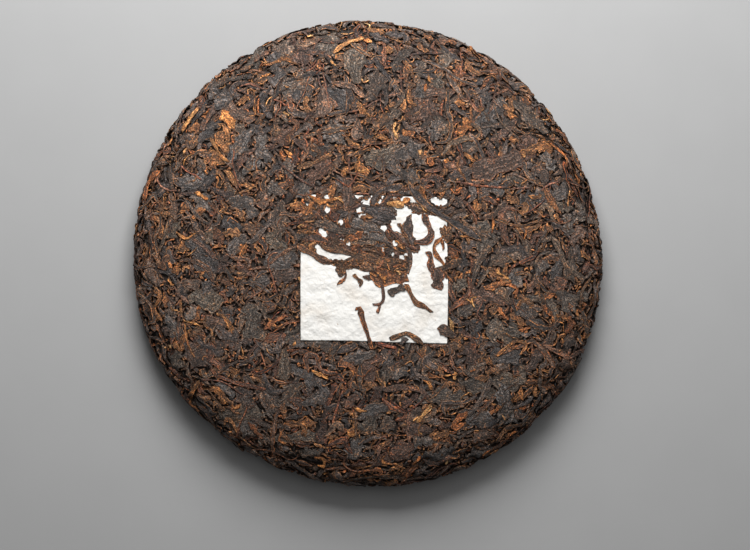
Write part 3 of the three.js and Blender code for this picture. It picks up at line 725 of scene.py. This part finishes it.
for _ in range(3):
    scatter("brownCrumbs", 36, front, 0.8)
    scatter("leafCrumbs", 24, front, 0.8)
    scatter("goldenBuds", 24, front, 0.5, 0.5)
    scatter("leafStems", 26, front, 0.45, 0.5)
    scatter("curledEdges", 24, flat, 0.6, 0.6)
    scatter("curledEdges", 66, loose, 0.6, 0.6)
    scatter("longLeaves", 54, front, 0.55, 0.8)
    scatter("broadLeaves", 26, flat, 0.5, 0.5)
    scatter("brownPatches", 9, flat, 0.5, 0.5)
    scatter("brownLeaves", 22, flat, 0.5, 0.8)
    scatter("darkLeaves", 26, flat, 0.5, 0.8)
    scatter("brownLeaves", 36, loose, 0.5, 0.8)
    scatter("darkLeaves", 48, loose, 0.5, 0.8)
    scatter("rimLeaves", 90, rim, 0.45, 0.95, lifted=0.12)
reportOpen("first leaves", front)
for _ in range(4):
    scatter("broadLeaves", 110, front & (cellWay < zones["broadEnd"]), 0.42, 0.5)
    scatter("brownPatches", 30, front, 0.42, 0.5)
    scatter("rimLeaves", 60, rim, 0.35, 0.95, lifted=0.08)
    scatter("darkLeaves", 60, front, 0.4, 0.8)
    scatter("brownLeaves", 40, front, 0.4, 0.8)
    scatter("curledEdges", 45, front, 0.4, 0.6)
reportOpen("second leaves", front)
for _ in range(3):
    scatter("darkLeaves", 170, front, 0.25, 0.6, longest=0.8)
    scatter("brownLeaves", 70, front, 0.25, 0.6, longest=0.8)
    scatter("leafCrumbs", 220, front, 0.3, 0.4)
    scatter("brownCrumbs", 130, front, 0.3, 0.4)
    scatter("curledEdges", 40, front, 0.4, 0.6)
reportOpen("third leaves", front)
for _ in range(4):
    scatter("leafCrumbs", 380, front, 0.15, 0.3)
    scatter("brownCrumbs", 130, front, 0.15, 0.3)
reportOpen("crumbs", front)
for _ in range(5):
    scatter("backLeaves", 150, back, 0.45, 0.8)
    scatter("backBrownLeaves", 75, back, 0.45, 0.8)
for _ in range(4):
    scatter("backLeaves", 130, back, 0.25, 0.6, longest=0.7)
    scatter("backBrownLeaves", 50, back, 0.25, 0.6, longest=0.7)
    scatter("backCrumbs", 320, back, 0.2, 0.4, sunk=0.05)
for _ in range(2):
    scatter("backCrumbs", 420, back, 0.12, 0.3, sunk=0.1)
reportOpen("back leaves", back)


def makeLeaves(name):
    # One mesh of every leaf of a kind, with a map along and across each leaf, and one for the bake
    rings, tone, length, width = (np.concatenate(part) for part in zip(*placed[name]))
    n, rows, ring, _ = rings.shape
    across = ring - 1
    index = np.arange(n * rows * ring).reshape(n, rows, ring)
    # faces as rows and columns of their corners, with the map across the leaf and the place in a bake tile
    edge, face, under = 0.06, 0.84, 0.08  # of a tile
    i, j = np.meshgrid(np.arange(rows - 1), np.arange(ring), indexing="ij")
    row = np.stack([i, i + 1, i + 1, i], axis=-1).reshape(-1, 4)
    column = np.stack([j, j, j + 1, j + 1], axis=-1).reshape(-1, 4)
    past, share = column - across + 1, column / (across - 1)
    tileV = np.where(past < 1, share * face, face + past * under)
    tileU = edge + 0.88 * row / (rows - 1)
    groups = [(row, column % ring, np.where(past < 1, share, 1 + past * 0.3), tileU, tileV)]
    for end, step in ((0, 1), (rows - 1, -1)):
        column = np.arange(ring)[None, ::step]
        share = np.where(column < across, column / (across - 1), 0.5)
        out = np.where(column < across, 0, edge - 0.01)
        tileU = edge - out if end == 0 else 1 - edge + out
        groups.append((np.full_like(column, end), column, share, tileU, share * face))
    # the leaf's map is in centimetres along and across it
    leaf = np.arange(n)
    columns = max(1, int(round(math.sqrt(n / 5))))
    wide, tall = 1 / columns, 1 / math.ceil(n / columns)
    perLeaf = (leaf % columns * wide, leaf // columns * tall, leaf * 0.37 % 7, length / 10, width / 10)
    left, low, shift, long, broad = (value[:, None, None] for value in perLeaf)
    loops, sizes, leafUv, bakeUv = [], [], [], []
    for row, column, share, tileU, tileV in groups:
        loops.append(index[:, row, column].ravel())
        sizes.append(np.full(n * len(row), row.shape[1]))
        leafUv.append(np.stack([row / (rows - 1) * long + shift, share * broad], axis=-1).reshape(-1, 2))
        bake = np.stack([left + wide * tileU, low + tall * (edge + 0.86 * tileV)], axis=-1)
        bakeUv.append(bake.reshape(-1, 2))
    loops, sizes = np.concatenate(loops), np.concatenate(sizes)
    mesh = bpy.data.meshes.new(name)
    mesh.vertices.add(rings.size // 3)
    mesh.vertices.foreach_set("co", rings.astype(np.float32).ravel())
    mesh.loops.add(len(loops))
    mesh.loops.foreach_set("vertex_index", loops.astype(np.int32))
    mesh.polygons.add(len(sizes))
    mesh.polygons.foreach_set("loop_start", np.r_[0, np.cumsum(sizes)[:-1]].astype(np.int32))
    for label, values in (("leafMap", leafUv), ("OFBake", bakeUv)):
        mesh.uv_layers.new(name=label).data.foreach_set("uv", np.vstack(values).astype(np.float32).ravel())
    mesh.update(calc_edges=True)
    # each point's tone, and how far it is from its leaf's side or end, in millimetres
    fromSide = np.r_[1 - np.abs(np.linspace(-1, 1, across)), -0.2] * width[:, None, None] / 2
    fromEnd = (1 - np.abs(np.linspace(-1, 1, rows)))[None, :, None] * length[:, None, None] / 2
    fromBorder = np.minimum(fromSide, fromEnd).ravel()
    for label, values in (("leafTone", np.repeat(tone, rows * ring)), ("leafEdge", fromBorder)):
        mesh.attributes.new(label, "FLOAT", "POINT").data.foreach_set("value", values.astype(np.float32))
    mesh.shade_smooth()
    mesh.validate()
    # crisp sides and ends, so that a leaf's face stays flat
    pairs = np.zeros(len(mesh.edges) * 2, np.int32)
    mesh.edges.foreach_get("vertices", pairs)
    column, row = pairs.reshape(-1, 2).T % ring, pairs.reshape(-1, 2).T // ring % rows
    crisp = (column[0] == column[1]) & np.isin(column[0], (0, ring - 2))
    crisp |= (row[0] == row[1]) & np.isin(row[0], (0, rows - 1))
    mesh.attributes.new("sharp_edge", "BOOLEAN", "EDGE").data.foreach_set("value", crisp)
    print(name, n, "leaves,", int((sizes - 2).sum()), "triangles")
    return mesh


core = {"lowered": 1.25, "lowerRim": 1.1, "rough": 0.35, "sections": 180, "spacing": 3.0}


def makeCore():
    # The pressed mass under the leaves: the half section spun round, a little lower, and rough
    bed = bmesh.new()
    marks = np.arange(0, wayAlong[-1], core["spacing"])
    marks[-1] = wayAlong[-1]
    lowered = core["lowered"] + core["lowerRim"] * rimShare(marks, rimZone["coreEnd"])
    r = onWay(marks, wayRadius) + onWay(marks, tangentZ) * lowered
    z = onWay(marks, wayHeight) - onWay(marks, tangentR) * lowered
    r[0] = r[-1] = 0
    line = [bed.verts.new((max(a, 0), 0, b)) for a, b in zip(r, z)]
    edges = [bed.edges.new(pair) for pair in zip(line, line[1:])]
    bmesh.ops.spin(bed, geom=line + edges, cent=(0, 0, 0), axis=(0, 0, 1), angle=2 * math.pi,
                   steps=core["sections"], use_merge=True)
    bmesh.ops.remove_doubles(bed, verts=bed.verts[:], dist=0.01)
    bmesh.ops.recalc_face_normals(bed, faces=bed.faces[:])
    bed.normal_update()
    for v in bed.verts:
        v.co -= v.normal * core["rough"] * (0.5 + 0.5 * noise.noise(v.co * 0.35))
    for v, point in zip(bed.verts, finishPlace(np.array([v.co[:] for v in bed.verts]))):
        v.co = point
    return finishMesh("pressedCore", bed)


def addPiece(name, mesh, material):
    piece = bpy.data.objects.new(name, mesh)
    bpy.context.scene.collection.objects.link(piece)
    mesh.materials.append(material)
    return piece


# Finishes
def newMaterial(name):
    material = bpy.data.materials.new(name)
    material.use_nodes = True
    return material, material.node_tree, material.node_tree.nodes["Principled BSDF"]


def newNode(tree, kind, **sockets):
    node = tree.nodes.new(kind)
    for name, value in sockets.items():
        node.inputs[name].default_value = value
    return node


def mathNode(tree, operation, *values, clamp=False):
    node = newNode(tree, "ShaderNodeMath")
    node.operation, node.use_clamp = operation, clamp
    for i, value in enumerate(values):
        if isinstance(value, (int, float)):
            node.inputs[i].default_value = value
        else:
            tree.links.new(value, node.inputs[i])
    return node.outputs[0]


def noiseNode(tree, vector, scale, detail=3.0, roughness=0.55, distortion=0.0, output="Fac"):
    node = newNode(tree, "ShaderNodeTexNoise", Scale=scale, Detail=detail, Roughness=roughness)
    node.inputs["Distortion"].default_value = distortion
    tree.links.new(vector, node.inputs["Vector"])
    return node.outputs[output]


def voronoiNode(tree, vector, scale, feature):
    node = newNode(tree, "ShaderNodeTexVoronoi", Scale=scale)
    node.feature = feature
    tree.links.new(vector, node.inputs["Vector"])
    return node.outputs["Distance"]


def swayedNode(tree, place, scale, detail, amount):
    # The place, pushed about a little, so that what is drawn on it isn't straight
    node = newNode(tree, "ShaderNodeVectorMath")
    node.operation = "MULTIPLY_ADD"
    tree.links.new(noiseNode(tree, place, scale, detail, 0.5, output="Color"), node.inputs[0])
    node.inputs[1].default_value = (amount, amount, amount)
    tree.links.new(place, node.inputs[2])
    return node.outputs[0]


def attributeNode(tree, name):
    node = newNode(tree, "ShaderNodeAttribute")
    node.attribute_name = name
    return node.outputs["Fac"]


def rangeNode(tree, value, fromLow, fromHigh, toLow=0.0, toHigh=1.0):
    limits = {"From Min": fromLow, "From Max": fromHigh, "To Min": toLow, "To Max": toHigh}
    node = newNode(tree, "ShaderNodeMapRange", **limits)
    tree.links.new(value, node.inputs["Value"])
    return node.outputs["Result"]


def rampNode(tree, value, stops):
    node = newNode(tree, "ShaderNodeValToRGB")
    ramp = node.color_ramp
    while len(ramp.elements) < len(stops):
        ramp.elements.new(0.5)
    for element, (position, colour) in zip(ramp.elements, stops):
        element.position = position
        element.color = (*colour, 1)
    tree.links.new(value, node.inputs["Fac"])
    return node.outputs["Color"]


def mixNode(tree, factor, first, second, blend="MIX"):
    node = newNode(tree, "ShaderNodeMix")
    node.data_type, node.blend_type = "RGBA", blend
    for label, value in (("Factor", factor), (6, first), (7, second)):
        socket = node.inputs[label]
        if isinstance(value, (int, float)):
            socket.default_value = value
        elif isinstance(value, tuple):
            socket.default_value = (*value, 1)
        else:
            tree.links.new(value, socket)
    return node.outputs[2]


def addBump(tree, shader, height, strength, distance):
    bump = newNode(tree, "ShaderNodeBump", Strength=strength, Distance=distance)
    tree.links.new(height, bump.inputs["Height"])
    tree.links.new(bump.outputs["Normal"], shader.inputs["Normal"])


def leafGrainGroup():
    # Wrinkles along a leaf, small folds, its rolled edges, and rust and blotches over the cake
    group = bpy.data.node_groups.new("leafGrain", "ShaderNodeTree")
    for name, kind in (("Map", "Vector"), ("Place", "Vector"), ("Tone", "Float"), ("Side", "Float")):
        group.interface.new_socket(name, in_out="INPUT", socket_type="NodeSocket" + kind)
    given = newNode(group, "NodeGroupInput").outputs
    place, side = given["Place"], given["Side"]
    split = newNode(group, "ShaderNodeSeparateXYZ")
    group.links.new(given["Map"], split.inputs[0])
    bent = mathNode(group, "MULTIPLY_ADD", noiseNode(group, place, 420, 3), 0.2, split.outputs["Y"])
    # fibres are long along the leaf, narrow across it and different on each leaf
    drawn = newNode(group, "ShaderNodeCombineXYZ")
    stretched = (("X", split.outputs["X"], 1.9), ("Y", bent, 16.0), ("Z", given["Tone"], 37.0))
    for socket, value, scale in stretched:
        group.links.new(mathNode(group, "MULTIPLY", value, scale), drawn.inputs[socket])
    fibre = noiseNode(group, drawn.outputs[0], 1.0, 4, 0.72)
    middle = mathNode(group, "SUBTRACT", fibre, 0.46)
    wrinkle = rangeNode(group, mathNode(group, "ABSOLUTE", middle), 0.0, 0.05)
    # small folds run on over neighbouring leaves
    swayed = swayedNode(group, place, 500.0, 2.0, 0.0022)
    fold = rangeNode(group, voronoiNode(group, swayed, 620.0, "DISTANCE_TO_EDGE"), 0.0, 0.11, 0.12, 1.0)
    crease = mathNode(group, "MULTIPLY", wrinkle, fold)
    blotch = noiseNode(group, place, 230, 6, 0.72)
    speck = noiseNode(group, place, 1650, 3, 0.75)
    ridges = mathNode(group, "MULTIPLY_ADD", crease, 0.35, fibre)
    masks = {
        "Fibre": fibre,
        "Crease": crease,
        "Edge": rangeNode(group, mathNode(group, "MULTIPLY_ADD", fibre, -1.0, side), -0.1, -0.35),
        # painted shade along the leaf's border
        "GapShade": rangeNode(group, side, 0.0, 0.18),
        "Rust": rangeNode(group, mathNode(group, "MULTIPLY_ADD", speck, 0.8, blotch), 0.98, 1.1),
        "Blotch": blotch,
        "Speck": speck,
        "Hue": noiseNode(group, swayed, 1100, 4, 0.8),
        "Relief": mathNode(group, "MULTIPLY_ADD", speck, 1.0, ridges),
    }
    for name in masks:
        group.interface.new_socket(name, in_out="OUTPUT", socket_type="NodeSocketFloat")
    outside = newNode(group, "NodeGroupOutput")
    for name, socket in masks.items():
        group.links.new(socket, outside.inputs[name])
    return group


leafGrain = leafGrainGroup()

# How strong each effect is, a leaf's colours from its darkest tone to its lightest, the share and the brown
# of its rolled edges and of rust, and how rough it is on its ridges and in its creases
leafFinishes = {
    "darkTea": {
        "hue": 1.0, "own": 0.55, "relief": 1.0, "roughness": (0.42, 0.64),
        "tones": [(0.0, (0.034, 0.026, 0.024)), (0.3, (0.062, 0.047, 0.041)), (0.6, (0.118, 0.086, 0.072)),
                  (0.85, (0.19, 0.128, 0.094)), (1.0, (0.29, 0.165, 0.1))],
        "edge": (0.75, (0.42, 0.17, 0.055)), "rust": (0.6, (0.36, 0.15, 0.052)),
    },
    "greyTea": {
        "hue": 1.0, "own": 0.45, "relief": 1.0, "roughness": (0.4, 0.62),
        "tones": [(0.0, (0.045, 0.036, 0.033)), (0.35, (0.084, 0.067, 0.059)), (0.7, (0.145, 0.114, 0.095)),
                  (0.86, (0.19, 0.139, 0.105)), (0.93, (0.2, 0.09, 0.052)), (1.0, (0.25, 0.11, 0.06))],
        "edge": (0.5, (0.3, 0.13, 0.05)), "rust": (0.6, (0.3, 0.135, 0.052)),
    },
    "brownTea": {
        "hue": 0.6, "own": 0.65, "relief": 1.0, "roughness": (0.45, 0.66),
        "tones": [(0.0, (0.06, 0.037, 0.026)), (0.35, (0.125, 0.067, 0.038)), (0.65, (0.24, 0.105, 0.042)),
                  (1.0, (0.42, 0.17, 0.052))],
        "edge": (0.7, (0.55, 0.23, 0.07)), "rust": (0.55, (0.5, 0.2, 0.06)),
    },
    "goldenTea": {
        "hue": 0.4, "own": 0.8, "relief": 0.9, "roughness": (0.5, 0.7),
        "tones": [(0.0, (0.45, 0.155, 0.036)), (0.4, (0.55, 0.22, 0.06)), (0.75, (0.64, 0.33, 0.115)),
                  (1.0, (0.68, 0.42, 0.19))],
        "edge": (0.6, (0.26, 0.1, 0.035)), "rust": (0.5, (0.2, 0.085, 0.038)),
    },
    "stemTea": {
        "hue": 0.7, "own": 0.8, "relief": 0.7, "roughness": (0.45, 0.62),
        "tones": [(0.0, (0.055, 0.034, 0.026)), (0.5, (0.14, 0.062, 0.04)), (1.0, (0.3, 0.105, 0.052))],
        "edge": (0.4, (0.38, 0.15, 0.06)), "rust": (0.4, (0.38, 0.15, 0.06)),
    },
    "edgeTea": {
        "hue": 0.6, "own": 0.9, "relief": 0.6, "roughness": (0.45, 0.66),
        "tones": [(0.0, (0.025, 0.018, 0.014)), (0.35, (0.08, 0.048, 0.034)), (0.6, (0.23, 0.1, 0.04)),
                  (0.85, (0.44, 0.18, 0.055)), (1.0, (0.6, 0.3, 0.1))],
        "edge": (0.3, (0.45, 0.19, 0.06)), "rust": (0.3, (0.38, 0.15, 0.05)),
    },
}
leafTints = {
    # which mask, from where to where, and how dark and how light it makes the leaf
    # Fibre and Crease lighten the ridges and darken the troughs and creases: painted highlight and painted
    # shade; Speck is grain
    "levels": [("Fibre", 0.3, 0.7, 0.38, 1.75), ("Crease", 0, 1, 0.2, 1.08), ("Speck", 0.3, 0.7, 0.18, 1.98)],
    "spots": 1.1,  # how much blotches and specks shift a leaf's tone
    "patches": [(0.36, (0.82, 0.92, 1.0)), (0.5, (0.95, 0.95, 0.95)), (0.64, (1.0, 0.68, 0.48))],
    "leaves": [(0.0, (0.84, 0.92, 1.0)), (0.35, (0.93, 0.95, 0.97)), (0.55, (1.0, 0.97, 0.84)),
               (0.78, (1.0, 0.84, 0.74)), (1.0, (1.0, 0.66, 0.52))],
}


def leafMaterial(name):
    finish = leafFinishes[name]
    material, tree, shader = newMaterial(name)
    leafMap = newNode(tree, "ShaderNodeUVMap")
    leafMap.uv_map = "leafMap"
    tone = attributeNode(tree, "leafTone")
    group = newNode(tree, "ShaderNodeGroup")
    group.node_tree = leafGrain
    place = newNode(tree, "ShaderNodeTexCoord").outputs["Object"]
    side = attributeNode(tree, "leafEdge")
    for label, socket in (("Map", leafMap.outputs["UV"]), ("Place", place), ("Tone", tone), ("Side", side)):
        tree.links.new(socket, group.inputs[label])
    grain = group.outputs
    # a leaf's own tone, shifted by blotches and specks that run on over its neighbours
    own, spots = finish["own"], leafTints["spots"]
    shifted = mathNode(tree, "MULTIPLY_ADD", tone, own, 0.5 - 0.5 * own - spots)
    shifted = mathNode(tree, "MULTIPLY_ADD", grain["Speck"], spots, shifted)
    shifted = mathNode(tree, "MULTIPLY_ADD", grain["Blotch"], spots, shifted, clamp=True)
    colour = rampNode(tree, shifted, finish["tones"])
    # rolled edges catch the lighter brown on some leaves only
    someLeaves = rangeNode(tree, mathNode(tree, "FRACT", mathNode(tree, "MULTIPLY", tone, 23.7)), 0.3, 0.7)
    rolled = mathNode(tree, "MULTIPLY", grain["Edge"], someLeaves)
    for mask, (share, brown) in ((rolled, finish["edge"]), (grain["Rust"], finish["rust"])):
        colour = mixNode(tree, mathNode(tree, "MULTIPLY", mask, share), colour, brown)
    # painted highlight on the ridges and painted shade in the troughs and creases, over the leaf's own fibre
    # grain, and all is finely speckled
    for label, *limits in leafTints["levels"]:
        colour = mixNode(tree, 1.0, colour, rangeNode(tree, grain[label], *limits), "MULTIPLY")
    leafHue = mathNode(tree, "FRACT", mathNode(tree, "MULTIPLY", tone, 91.7))
    for share, value, tints in ((1.0, grain["Hue"], "patches"), (finish["hue"], leafHue, "leaves")):
        colour = mixNode(tree, share, colour, rampNode(tree, value, leafTints[tints]), "MULTIPLY")
    # painted shade: a dark line where one leaf ends on the next, in place of the shadowed gap between them
    colour = mixNode(tree, 1.0, colour, rangeNode(tree, grain["GapShade"], 0, 1, 0.14, 1), "MULTIPLY")
    tree.links.new(colour, shader.inputs["Base Color"])
    smooth, rough = finish["roughness"]
    tree.links.new(rangeNode(tree, grain["Fibre"], 0.3, 0.7, rough, smooth), shader.inputs["Roughness"])
    shader.inputs["Specular IOR Level"].default_value = 0.5
    addBump(tree, shader, grain["Relief"], finish["relief"], 0.0004)
    return material


leafMaterials = {name: leafMaterial(name) for name in leafFinishes}
for name, kind in leafKinds.items():
    piece = addPiece(name, makeLeaves(name), leafMaterials[kind["finish"]])
    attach(piece, "root")


def coreMaterial():
    material, tree, shader = newMaterial("pressedDustAndShade")
    coarse = noiseNode(tree, newNode(tree, "ShaderNodeTexCoord").outputs["Object"], 350, 5, 0.65)
    # darker than any leaf: partly the pressed mass's own dark brown, partly painted shade in the gaps between
    # the leaves
    browns = [(0.3, (0.012, 0.009, 0.008)), (0.55, (0.03, 0.02, 0.015)), (0.75, (0.07, 0.04, 0.024))]
    tree.links.new(rampNode(tree, coarse, browns), shader.inputs["Base Color"])
    shader.inputs["Roughness"].default_value = 0.85
    addBump(tree, shader, coarse, 0.7, 0.0005)
    return material


paper = {
    "whites": [(0.35, (0.70, 0.685, 0.65)), (0.5, (0.72, 0.705, 0.675)), (0.68, (0.66, 0.62, 0.565))],
    "fibre": (0.48, 0.4, 0.3), "fibreShare": 0.22, "fibreTurn": 0.9,
    "speck": (0.3, 0.17, 0.09), "speckShare": 0.7,
    "teaDustAndShade": (0.05, 0.032, 0.022),
    "creases": [(140, 1.1), (330, 0.5)],  # how many to the metre, how deep
}


def paperMaterial():
    # Thin handmade paper: warm white, a few long fibres and specks, soft creases
    p = paper
    material, tree, shader = newMaterial("ticketPaper")
    place = newNode(tree, "ShaderNodeTexCoord").outputs["Object"]
    colour = rampNode(tree, noiseNode(tree, place, 75, 4, 0.55), p["whites"])
    stretched = newNode(tree, "ShaderNodeMapping", Scale=(1, 0.3, 1), Rotation=(0, 0, p["fibreTurn"]))
    tree.links.new(place, stretched.inputs["Vector"])
    fibres = noiseNode(tree, stretched.outputs[0], 1100, 3, 0.6, 1.5)
    colour = mixNode(tree, rangeNode(tree, fibres, 0.6, 0.74, 0, p["fibreShare"]), colour, p["fibre"])
    specks = noiseNode(tree, place, 1100, 1, 0.5)
    colour = mixNode(tree, rangeNode(tree, specks, 0.77, 0.8, 0, p["speckShare"]), colour, p["speck"])
    # painted shade and tea dust: the paper under the tea is nearly as dark as the tea
    dustAndShade = rangeNode(tree, attributeNode(tree, "paperDustAndShade"), 0.4, 0.8)
    tree.links.new(mixNode(tree, dustAndShade, colour, p["teaDustAndShade"]), shader.inputs["Base Color"])
    shader.inputs["Roughness"].default_value = 0.85
    shader.inputs["Specular IOR Level"].default_value = 0.25
    # flat fields between sharp creases, large and small
    swayed = swayedNode(tree, place, 160.0, 3.0, 0.006)
    height = noiseNode(tree, place, 420, 5, 0.62, 0.4)
    for scale, depth in p["creases"]:
        height = mathNode(tree, "MULTIPLY_ADD", voronoiNode(tree, swayed, scale, "F2"), depth, height)
    addBump(tree, shader, mathNode(tree, "MULTIPLY_ADD", fibres, 0.25, height), 0.42, 0.0008)
    return material


corePiece = addPiece("pressedCore", makeCore(), coreMaterial())
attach(corePiece, "root")
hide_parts("cake")

ticketPiece = addPiece("paperTicket", ticketMesh, paperMaterial())
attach(ticketPiece, "root")
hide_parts("ticket")
print("core and paper made")

studio = {
    "floorSize": 2.4, "floorGrey": 0.33, "floorBelow": 0.0003,
    "keyPlace": (0.0, 0.44, 0.35), "keyWatts": 6.4, "keySize": 0.35,
    "fillPlace": (0.15, 0.5, 1.2), "fillWatts": 3.2, "fillSize": 1.0,
    "surround": 0.1,
    "tiltUp": 4.0, "tiltSide": -1.5, "distance": 1.2, "lens": 138,
    "aim": (0.0027, -0.0083, 0.009),
}


def makeFloor():
    s = studio
    bed = bmesh.new()
    bmesh.ops.create_grid(bed, x_segments=4, y_segments=4, size=s["floorSize"] / 2)
    mesh = bpy.data.meshes.new("floor")
    bed.to_mesh(mesh)
    bed.free()
    mesh.transform(Matrix.Translation((0, 0, -s["floorBelow"])))
    material, tree, shader = newMaterial("paleFloor")
    cloth = noiseNode(tree, newNode(tree, "ShaderNodeTexCoord").outputs["Object"], 30, 3)
    grey = s["floorGrey"]
    greys = rampNode(tree, cloth, [(0.3, (grey * 0.97,) * 3), (0.7, (grey,) * 3)])
    tree.links.new(greys, shader.inputs["Base Color"])
    shader.inputs["Roughness"].default_value = 0.9
    return addPiece("floor", mesh, material)


def makeStudio():
    s, scene = studio, bpy.context.scene
    aim = Vector(s["aim"])
    for name in ("key", "fill"):
        lamp = bpy.data.lights.new(name, "AREA")
        lamp.energy, lamp.size = s[name + "Watts"], s[name + "Size"]
        lampObject = bpy.data.objects.new(name, lamp)
        lampObject.location = s[name + "Place"]
        lampObject.rotation_euler = (aim - lampObject.location).to_track_quat("-Z", "Y").to_euler()
        scene.collection.objects.link(lampObject)
    scene.world = bpy.data.worlds.new("surround")
    scene.world.use_nodes = True
    background = scene.world.node_tree.nodes["Background"]
    background.inputs["Color"].default_value = (1, 1, 1, 1)
    background.inputs["Strength"].default_value = s["surround"]
    scene.view_settings.view_transform = "Standard"
    camera = bpy.data.cameras.new("camera")
    camera.lens, camera.sensor_width = s["lens"], 36
    camera.clip_start, camera.clip_end = 0.05, 20
    scene.camera = bpy.data.objects.new("camera", camera)
    up, side = math.radians(s["tiltUp"]), math.radians(s["tiltSide"])
    back = Vector((math.sin(side), math.sin(up), 1)).normalized()
    scene.camera.location = aim + back * s["distance"]
    # the photograph's upright stays upright
    right = Vector((0, 1, 0)).cross(back).normalized()
    scene.camera.rotation_euler = Matrix((right, back.cross(right), back)).transposed().to_euler()
    scene.collection.objects.link(scene.camera)


floor = makeFloor()
makeStudio()
print("studio made")
